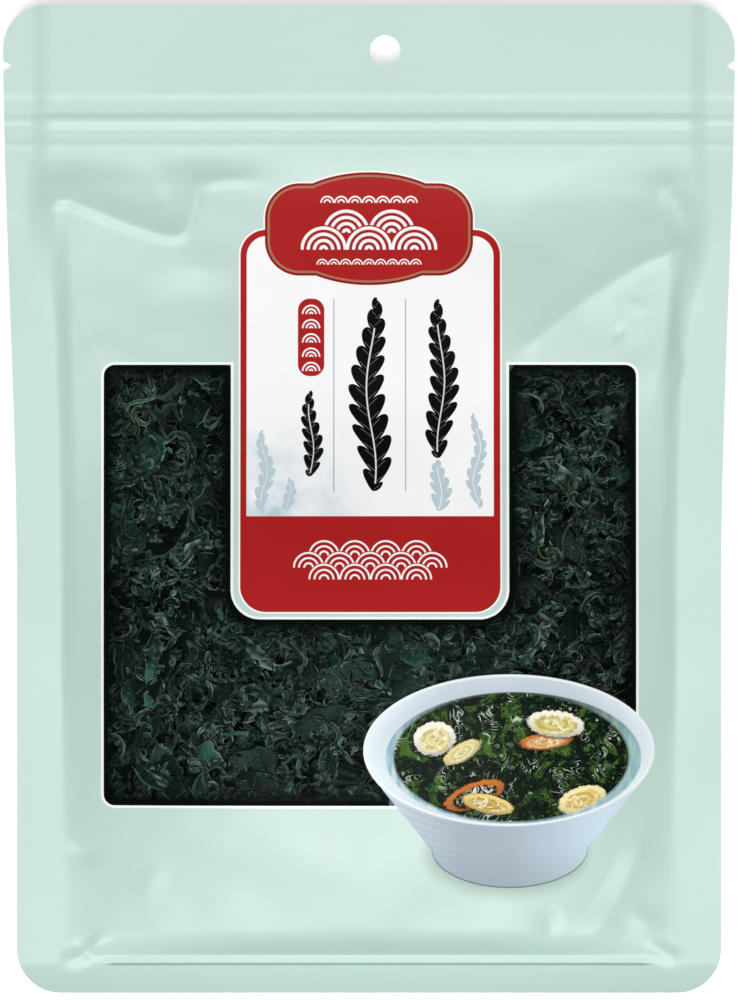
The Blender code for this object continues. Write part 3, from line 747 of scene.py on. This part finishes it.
class Finish:
    # a material whose nodes all come from add: settings first, then each socket's value or link
    def __init__(self, name):
        self.material = bpy.data.materials.new(name)
        self.material.use_nodes = True
        self.tree = self.material.node_tree
        self.tree.nodes.clear()
        self.place = None

    def add(self, kind, settings=None, sockets=None, output=0):
        node = self.tree.nodes.new(kind)
        for key, value in (settings or {}).items():
            if key == "stops":
                while len(node.color_ramp.elements) < len(value):
                    node.color_ramp.elements.new(0.5)
                for element, (position, *tone) in zip(node.color_ramp.elements, value):
                    element.position, element.color = position, (*colour(*tone), 1)
            else:
                setattr(node, key, value)
        for key, value in (sockets or {}).items():
            if isinstance(value, Socket):
                self.tree.links.new(value.output, node.inputs[key])
            else:
                node.inputs[key].default_value = value
        return Socket(self, node.outputs[output])

    def where(self):
        # the object's own coordinates in millimetres, as x, y, z
        if self.place is None:
            raw = self.add("ShaderNodeTexCoord", output=3)
            self.vector = self.add("ShaderNodeVectorMath", {"operation": "SCALE"}, {0: raw, "Scale": 1000})
            self.place = [self.add("ShaderNodeSeparateXYZ", {}, {0: self.vector}, k) for k in range(3)]
        return self.place

    def noise(self, size, detail=2, roughness=0.5, distortion=0, stretch=(1, 1, 1)):
        # value noise with features of about that many millimetres
        self.where()
        scale = [v / size for v in stretch]
        place = self.add("ShaderNodeMapping", {}, {"Vector": self.vector, "Scale": scale})
        return self.add("ShaderNodeTexNoise", {}, {"Vector": place, "Scale": 1, "Detail": detail,
                                                   "Roughness": roughness, "Distortion": distortion})

    def paint(self, base, mask, over):
        # one colour over another where the mask is 1, each a socket or given as on a screen
        base, over = ((*colour(*c), 1) if isinstance(c, tuple) else c for c in (base, over))
        return self.add("ShaderNodeMix", {"data_type": "RGBA"}, {0: mask, 6: base, 7: over}, 2)

    def clamp(self, value, low=0, high=1):
        return self.add("ShaderNodeClamp", {}, {0: value, 1: low, 2: high})

    def inside(self, distance, soft=0.14):
        # 1 where a distance in millimetres is below zero, with a soft edge
        return self.clamp(0.5 - distance / soft)

    def line(self, distance, width):
        return self.inside(magnitude(distance) - width / 2)

    def ramp(self, value, *stops):
        # a colour that changes with the value, by stops of place, red, green and blue
        return self.add("ShaderNodeValToRGB", {"stops": stops}, {0: value})

    def bump(self, height, distance, strength=1):
        sockets = {"Height": height, "Distance": distance * mm, "Strength": strength}
        return self.add("ShaderNodeBump", {}, sockets)

    def attribute(self, name):
        return self.add("ShaderNodeAttribute", {"attribute_name": name}, output=2)

    def surface(self, base, rough, normal, specular, tint=(1, 1, 1, 1)):
        return self.add("ShaderNodeBsdfPrincipled", {}, {
            "Base Color": base, "Roughness": rough, "Normal": normal, "Specular IOR Level": specular,
            "Specular Tint": tint})

    def output(self, surface):
        node = self.tree.nodes.new("ShaderNodeOutputMaterial")
        self.tree.links.new(surface.output, node.inputs[0])
        return self.material


def colour(red, green, blue):
    # a colour given as on a screen, from 0 to 255, in linear light
    share = np.array([red, green, blue]) / 255
    linear = np.where(share <= 0.04045, share / 12.92, ((share + 0.055) / 1.055) ** 2.4)
    return tuple(float(v) for v in linear)


# The print on the front, in millimetres, with colours given as on a screen
inks = {
    "mint": (196, 222, 212),
    "white": (255, 255, 255),
    "red": (175, 33, 32),
    "deepRed": (148, 18, 24),
    "ink": (8, 8, 9),
    "paleBlue": (192, 210, 218),
    "wash": (170, 200, 216),
    "gold": (166, 122, 92),
}
label = {
    "frame": (-35.1, 35.8, -30.9, 73.4),
    "frameRadius": 7,
    "panel": (-33.4, 34.0, -4.8, 71.7),
    "panelRadius": 5.5,
    "plaque": (-28.4, 28.4, 60.9, 86.1),
    "plaqueRadius": 9.5,
    "crown": (0, 73.7),
    "crownHalf": (26, 15.4),
    "capsule": (-19.4, -12.2, 33.4, 54.6),
    "capsuleRadius": 3.2,
    "rules": (-9.6, 10.0),
    "ruleSpan": (2.0, 54.5),
    "ruleWidth": 0.28,
    "windowLine": 0.7,
    "outline": 0.45,
}

# Wave motifs, each as middle x, cell length, radii and width of the arcs, and rows from back to front as the
# height of their feet, sideways shift in cells and reach from the middle
motifs = {
    "plaqueTop": (0, 3.8, (1.7, 0.8), 0.42, [(80.8, 0, 13.3)]),
    "plaqueMiddle": (0, 12.4, (5.9, 4.2, 2.5, 0.8), 0.85, [(72.6, 0.5, 12.4), (68.0, 0, 18.6)]),
    "plaqueBottom": (0, 3.2, (1.4, 0.6), 0.34, [(63.9, 0, 14.4)]),
    "capsule": (-15.8, 5.2, (2.3, 1.3, 0.4), 0.44, [(50.4 - 3.9 * row, 0, 2.6) for row in range(5)]),
    "footer": (0.35, 8.4, (4.0, 2.6, 1.2), 0.5, [(-15.6, 0.5, 16.8), (-18.8, 0, 21), (-22.0, 0.5, 16.8)]),
}

# Fronds on the panel: foot x and y, height, half width, sway, sway length, lobe length, shift
fronds = [
    (0.6, 2.0, 53, 6.0, 1.3, 44, 5.6, 0.4),
    (19.6, 11.0, 43.5, 4.8, 1.0, 36, 4.8, 2.2),
    (-15.8, 6.0, 23.5, 3.2, 0.7, 22, 3.6, 4.0),
]
paleFronds = [
    (19.2, -3.4, 14, 3.4, 0.6, 15, 3.2, 1.0),
    (29.4, -2.6, 26, 2.4, 1.0, 18, 3.2, 3.0),
    (-28.6, -3.2, 22, 2.6, 0.9, 17, 3.4, 5.0),
    (-21.8, -3.4, 9, 2.0, 0.5, 12, 2.8, 0.0),
]


def frond(f, x, y, footX, footY, height, half, sway, swayLength, lobe, shift):
    # a blade with lobes that slant up on both sides of a pale midrib
    up = (y - footY) / height
    middle = x - footX - sine(y * (2 * math.pi / swayLength) + shift) * sway
    side = middle.math("SIGN", middle)
    taper = root(f.clamp(up * (1 - up) * 4, 0.0001, 1)) * (1.1 - up * 0.45)
    lobes = magnitude(sine((y - magnitude(middle) * 0.9) * (math.pi / lobe) + side * 0.8 + shift))
    edge = taper * (root(lobes) * 0.66 + 0.3) * half
    blade = f.inside(magnitude(middle) - edge) * f.inside(magnitude(up - 0.5) * height - height / 2)
    rib = f.line(middle, 0.045 * half + 0.14) * f.inside(magnitude(up - 0.44) * height - height * 0.4)
    vein = f.line(lobes * lobe - 0.5 * lobe, 0.22) * f.inside(magnitude(middle) - edge * 0.7)
    return blade * (1 - larger(rib, vein * 0.5) * 0.8)


def waves(f, x, y, middle, length, radii, width, rows):
    # rows of round waves, each of concentric arcs over its foot line and in front of the row behind it
    total = 0
    for level, shift, reach in rows:
        beside = x.math("PINGPONG", x - middle + shift * length, length / 2)
        up = y - level
        away = root(beside * beside + up * up)
        part = f.inside(-up) * f.inside(magnitude(x - middle) - reach)
        arcs = sum(f.line(away - radius, width) for radius in radii)
        solid = f.inside(away - radii[0] - width) * part
        total = (1 - solid) * total + f.clamp(arcs) * part
    return f.clamp(total)


def printLabel(f, x, y, base):
    # returns the film's colour with the label on it, and a mask of the label
    frameDistance = boxDistance(x, y, label["frame"], label["frameRadius"])
    plaque = smaller(boxDistance(x, y, label["plaque"], label["plaqueRadius"]),
                     ovalDistance(x, y, label["crown"], label["crownHalf"]))
    window = windowDistance(x, y, 1000)
    base = f.paint(base, f.line(window - label["windowLine"] / 2, label["windowLine"]), inks["white"])
    base = f.paint(base, f.inside(window), inks["ink"])
    whole = f.inside(smaller(frameDistance, plaque) - label["outline"])
    base = f.paint(base, whole, inks["white"])
    base = f.paint(base, f.inside(frameDistance), inks["red"])
    lowX, highX, lowY, highY = label["panel"]
    panel = boxDistance(x, y, (lowX, highX, lowY - 12, highY), label["panelRadius"])
    inPanel = f.inside(larger(panel, lowY - y))
    base = f.paint(base, inPanel, inks["white"])
    wash = f.clamp((24 - y) / 26) * f.clamp((f.noise(13, 3, 0.6) - 0.34) * 3) * f.clamp((4 - x) / 30)
    base = f.paint(base, wash * inPanel, inks["wash"])
    pale = sum(frond(f, x, y, *entry) for entry in paleFronds)
    dark = sum(frond(f, x, y, *entry) for entry in fronds)
    low, high = label["ruleSpan"]
    within = f.inside(magnitude(y - (low + high) / 2) - (high - low) / 2)
    rules = sum(f.line(x - place, label["ruleWidth"]) for place in label["rules"])
    base = f.paint(base, f.clamp(pale) * inPanel, inks["paleBlue"])
    base = f.paint(base, f.clamp(rules) * within * 0.6, inks["ink"])
    base = f.paint(base, f.clamp(dark) * inPanel, inks["ink"])
    base = f.paint(base, f.inside(boxDistance(x, y, label["capsule"], label["capsuleRadius"])), inks["red"])
    base = f.paint(base, f.inside(plaque), inks["red"])
    base = f.paint(base, f.line(plaque + 0.25, 0.5), inks["deepRed"])
    base = f.paint(base, f.line(plaque + 1.0, 0.6), inks["gold"])
    for motif in motifs.values():
        base = f.paint(base, waves(f, x, y, *motif), inks["white"])
    return base, whole


# Pieces in the printed soup: middle x and y, half length and width, degrees, outer and inner colour
pieces = [
    (48.3, -66.1, 7.2, 2.2, 6, (206, 122, 58), (238, 190, 124)),
    (50.8, -61.4, 7.8, 3.6, -6, (250, 248, 230), (232, 214, 126)),
    (17.9, -65.4, 5.8, 4.6, 12, (250, 248, 234), (240, 228, 158)),
    (25.4, -69.0, 5.6, 2.4, 30, (236, 214, 150), (242, 232, 170)),
    (28.8, -80.8, 8.4, 3.4, 20, (204, 118, 52), (30, 34, 20)),
    (32.4, -83.2, 7.0, 2.5, -12, (240, 216, 132), (214, 184, 92)),
    (58.2, -82.2, 6.6, 3.7, 16, (250, 238, 180), (240, 210, 122)),
]


def printSoup(f, x, y):
    # wet dark leaves in green folds with thin glints, then the pieces, each a shell with mottled flesh
    weed = f.noise(8, 3, 0.55, 1.4)
    fine = f.noise(2.4, 3, 0.55, 2.0)
    soup = f.ramp(weed + (fine - 0.5) * 0.5, (0.32, 68, 100, 38), (0.4, 27, 55, 22), (0.47, 7, 15, 10),
                  (0.57, 9, 21, 14), (0.66, 31, 62, 33), (0.76, 92, 122, 64))
    folded = f.noise(8, 1, 0.4, 2.2)
    stripes = folded.math("PINGPONG", folded * 7, 0.5)
    patches = f.clamp((f.noise(4.5, 1) - 0.55) * 9)
    soup = f.paint(soup, f.clamp(1 - stripes * 3.4) * f.clamp((0.5 - weed) * 9) * 0.6, (88, 124, 50))
    soup = f.paint(soup, f.clamp(1 - stripes * 7) * patches, (216, 228, 214))
    soup = f.paint(soup, f.clamp((fine - 0.66) * 16), (196, 210, 186))
    for middleX, middleY, halfLong, halfWide, degrees, outer, inner in pieces:
        turn = math.radians(degrees)
        dx, dy = x - middleX, y - middleY
        a = (dx * math.cos(turn) + dy * math.sin(turn)) / halfLong
        b = (dy * math.cos(turn) - dx * math.sin(turn)) / halfWide
        away = root(a * a + b * b) + (fine - 0.5) * 0.4
        soup = f.paint(soup, f.inside((away - 1.12) * halfWide, 1.0) * 0.85, (5, 12, 8))
        shell = f.paint(outer, f.clamp(0.2 - b * 0.5), tuple(v * 0.62 for v in outer))
        folds = sine(away * 17 + a * 3) * 0.5 + 0.5
        flesh = f.paint(inner, folds * 0.55, tuple(v * 0.62 for v in inner))
        flesh = f.paint(flesh, f.clamp((fine - 0.52) * 8), (252, 248, 222))
        soup = f.paint(soup, f.inside((away - 1) * halfWide, 0.3), shell)
        middle = root(a * a + (b + 0.1) * (b + 0.1)) + (fine - 0.5) * 0.6
        soup = f.paint(soup, f.inside((middle - 0.74) * halfWide, 0.4), flesh)
    return soup


def printBowl(f, x, y, base):
    # a shadow on the film, then the body with faint ridges, the rim, the inner wall and the soup
    outline = bowlDistance(x, y)
    under = ovalDistance(x, y, (bowl["foot"][0] - 1, bowl["foot"][1] - 1.6), bowl["footHalf"])
    base = f.paint(base, f.clamp(0.6 - under / 4) * 0.45, (104, 132, 122))
    across = f.clamp((x - bowl["rim"][0]) / (2 * bowl["rimHalf"][0]) + 0.5)
    body = f.ramp(across, (0.07, 212, 224, 234), (0.2, 190, 204, 214), (0.34, 172, 186, 198),
                  (0.5, 174, 187, 199), (0.68, 192, 210, 222), (0.82, 208, 230, 242))
    off = across * 2 - 1
    ridge = sine((y + bowl["rimHalf"][1] * root(larger(1 - off * off, 0))) * 3.4)
    body = f.paint(body, f.clamp(ridge) * f.clamp(0.8 - across * 1.3) * 0.35, (140, 158, 176))
    body = f.paint(body, f.clamp((-95 - y) / 14) * 0.5, (140, 156, 166))
    rim = ovalDistance(x, y, bowl["rim"], bowl["rimHalf"])
    up = f.clamp((y - bowl["rim"][1]) / (2 * bowl["rimHalf"][1]) + 0.5)
    rimTone = f.paint((208, 219, 228), f.clamp(magnitude(off) * 2.2 - 0.9), (236, 248, 253))
    rimTone = f.paint(rimTone, f.clamp(-rim * 0.2) * up * 0.7, (192, 204, 214))
    opening = ovalDistance(x, y, bowl["opening"], bowl["openingHalf"])
    soupPlace = (bowl["opening"][0] - 0.6, bowl["opening"][1])
    soup = ovalDistance(x, y, soupPlace, bowl["soupHalf"])
    streak = f.noise(5, 2, 0.5, 0, (3, 0.5, 1))
    wall = f.paint((146, 188, 204), f.clamp((streak - 0.4) * 4), (204, 224, 224))
    wall = f.paint(wall, f.clamp(across - 0.3) * 0.6, (150, 190, 168))
    wall = f.paint(wall, f.clamp(up * 2.6 - 1.4), (36, 42, 30))
    whole = f.paint(body, f.inside(rim, 0.3), rimTone)
    whole = f.paint(whole, f.line(rim + 0.5, 0.6) * 0.8, (248, 251, 253))
    whole = f.paint(whole, f.inside(opening, 0.4), wall)
    whole = f.paint(whole, f.inside(soup, 0.9), printSoup(f, x, y))
    edge = f.inside(-outline - 0.3, 0.4)
    whole = f.paint(whole, edge * f.clamp((-92 - y) / 8) * 0.8, (66, 84, 84))
    return f.paint(base, f.inside(outline), whole), f.inside(outline)


def filmFinish(name, printed):
    # satin laminate: mint with faint mottling, painted shade along the weld groove and fine dents; the print,
    # by signed distances, is matte
    f = Finish(name)
    x, y, _ = f.where()
    mottle = f.noise(30, 3)
    base = f.paint(inks["mint"], f.clamp((mottle - 0.4) * 1.2), (199, 225, 215))
    # painted shade: a dark line along the weld groove over the bottom seal, standing in for the shadow in
    # that fold
    fold = f.line(y - weldGroove["y"] / mm, 0.42) * f.inside(magnitude(x - 2.6) - 74, 4)
    base = f.paint(base, fold * 0.75, (104, 128, 120))
    normal = f.bump(f.noise(5, 2) * 0.7 + f.noise(1.1, 2) * 0.12, 0.12, 0.5)
    rough = 0.34 + f.noise(14, 2) * 0.1
    if not printed:
        return f.output(f.surface(base, rough, normal, 0.4))
    base, labelMask = printLabel(f, x, y, base)
    base, bowlMask = printBowl(f, x, y, base)
    film = f.surface(base, rough, normal, 0.4)
    ink = f.surface(base, 0.5, normal, 0.06)
    return f.output(f.add("ShaderNodeMixShader", {}, {0: f.clamp(labelMask + bowlMask), 1: film, 2: ink}))


def paneFinish():
    # clear film: mostly see-through, with painted shade along the window's edge that fades inwards, and gloss
    # at low angles
    f = Finish("clear_film_finish")
    x, y, _ = f.where()
    depth = larger(-windowDistance(x, y, 1000), 0)
    # painted shade: the dark film covers the pane near the window's edge and fades inwards, standing in for
    # the shadow of the edge on the flakes
    windowEdgeShade = depth.math("EXPONENT", depth * -1.1) * 0.85 + depth.math("EXPONENT", depth * -0.28) * 0.4
    facing = f.add("ShaderNodeLayerWeight", {}, {"Blend": 0.12}, 0)
    cover = f.clamp(windowEdgeShade + 0.02 + facing * 0.4)
    normal = f.bump(f.noise(6, 2), 0.2, 0.6)
    film = f.surface((0.003, 0.006, 0.005, 1), 0.25, normal, 0.02)
    clear = f.add("ShaderNodeBsdfTransparent")
    return f.output(f.add("ShaderNodeMixShader", {}, {0: cover, 1: clear, 2: film}))


def wakameFinish():
    # dried seaweed: near black to teal by flake, with painted shade for depth carried in the tone, painted
    # highlights on the rolled rims, a few yellow-green pieces and painted glints
    f = Finish("dried_wakame_finish")
    tone, rim, hue = f.attribute("tone"), f.attribute("rim"), f.attribute("hue")
    grain = f.noise(1.3, 3, 0.6, 0.5)
    shade = f.clamp(tone + (grain - 0.5) * 0.6)
    body = f.ramp(shade, (0.0, 1, 4, 3), (0.38, 7, 17, 13), (0.72, 21, 44, 36), (1.0, 60, 104, 88))
    # painted highlight: the rolled rims are lightened as if they caught the light
    rimHighlight = f.clamp(rim * (0.4 + grain) * (0.35 + tone))
    body = f.paint(body, rimHighlight, (164, 194, 178))
    green = f.inside(0.992 - hue, 0.005)
    body = f.paint(body, green * tone, (82, 98, 62))
    # painted glints: small pale spots from fine noise on the lighter flakes
    paintedGlint = f.clamp((f.noise(0.8, 2, 0.6) - 0.68) * 14) * f.clamp(tone * 3 - 1)
    body = f.paint(body, paintedGlint * 0.8, (170, 190, 168))
    rough = 0.34 + grain * 0.2
    normal = f.bump(grain + f.noise(0.5, 2) * 0.4, 0.25, 0.8)
    return f.output(f.surface(body, rough, normal, 0.16, (0.6, 1.0, 0.85, 1)))


def zipperFinish():
    f = Finish("zipper_finish")
    cloud = f.noise(7, 2)
    tint = f.paint((222, 230, 227), f.clamp(cloud), (235, 240, 238))
    return f.output(f.surface(tint, 0.28 + cloud * 0.1, f.bump(cloud, 0.05, 0.4), 0.5))


def floorFinish():
    f = Finish("floor_finish")
    return f.output(f.add("ShaderNodeBsdfPrincipled", {}, {
        "Base Color": (0.93, 0.94, 0.94, 1), "Roughness": 0.9, "Specular IOR Level": 0.0,
        "Emission Color": (1, 1, 1, 1), "Emission Strength": 0.6}))


def setMaterial(obj, material):
    obj.data.materials.clear()
    obj.data.materials.append(material)


# Stage
stage = {
    "cameraDistance": 5.0,
    "frameHeight": 0.2732,  # of the picture, at the height of the seals
    "aimY": -0.4 * mm,
    "floorHalf": 6,
    "worldStrength": 0.18,
    "lightDistance": 6.0,
    "lightSize": (3.67, 2.67),
    "lightTilt": -17,  # degrees from overhead towards +Y
    "lightPower": 322,
}


def makeStage():
    camera = bpy.data.cameras.new("camera")
    camera.sensor_width = 36
    camera.lens = 36 * stage["cameraDistance"] / stage["frameHeight"]
    view = bpy.data.objects.new("camera", camera)
    view.location = (0, stage["aimY"], pouch["sealHeight"] + stage["cameraDistance"])
    bpy.context.scene.collection.objects.link(view)
    bpy.context.scene.camera = view
    bpy.context.scene.view_settings.view_transform = "Standard"

    world = bpy.data.worlds.new("studio")
    world.use_nodes = True
    world.node_tree.nodes["Background"].inputs[0].default_value = (1, 1, 1, 1)
    world.node_tree.nodes["Background"].inputs[1].default_value = stage["worldStrength"]
    bpy.context.scene.world = world

    light = bpy.data.lights.new("softbox", "AREA")
    light.shape = "RECTANGLE"
    light.size, light.size_y = stage["lightSize"]
    light.energy = stage["lightPower"]
    lamp = bpy.data.objects.new("softbox", light)
    tilt, distance = math.radians(stage["lightTilt"]), stage["lightDistance"]
    lamp.location = (0, distance * math.sin(tilt), distance * math.cos(tilt))
    lamp.rotation_euler = (-tilt, 0, 0)
    lamp.visible_camera = False
    bpy.context.scene.collection.objects.link(lamp)

    half = stage["floorHalf"]
    corners = [(-half, -half, 0), (half, -half, 0), (half, half, 0), (-half, half, 0)]
    floor = makeObject("floor", corners, [0, 1, 2, 3], [4])
    floor.location.z = -0.1 * mm
    setMaterial(floor, floorFinish())
    floor.visible_diffuse = floor.visible_glossy = False  # its brightness stays off the pouch


makeStage()
print("stage ready")
film = filmFinish("mint_film_finish", True)
plain = filmFinish("plain_film_finish", False)
front = makeFront()
setMaterial(front, film)
back = makeBack()
setMaterial(back, plain)
pane = makePane()
setMaterial(pane, paneFinish())
print("films:", len(front.data.polygons), len(back.data.polygons), len(pane.data.polygons))
weed = wakameFinish()
bed = makeBed()
setMaterial(bed, weed)
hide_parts("wakame_flakes")
randomness = np.random.default_rng(heap["seed"])
for name, kind in flakeKinds.items():
    piece = makeFlakes(name, kind, randomness)
    setMaterial(piece, weed)
    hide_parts("wakame_flakes")
    print(name, len(piece.data.polygons))
strip = zipperFinish()
for name in ("zipper_groove", "zipper_rib"):
    setMaterial(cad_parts[name], strip)
print("wakame and zipper ready")
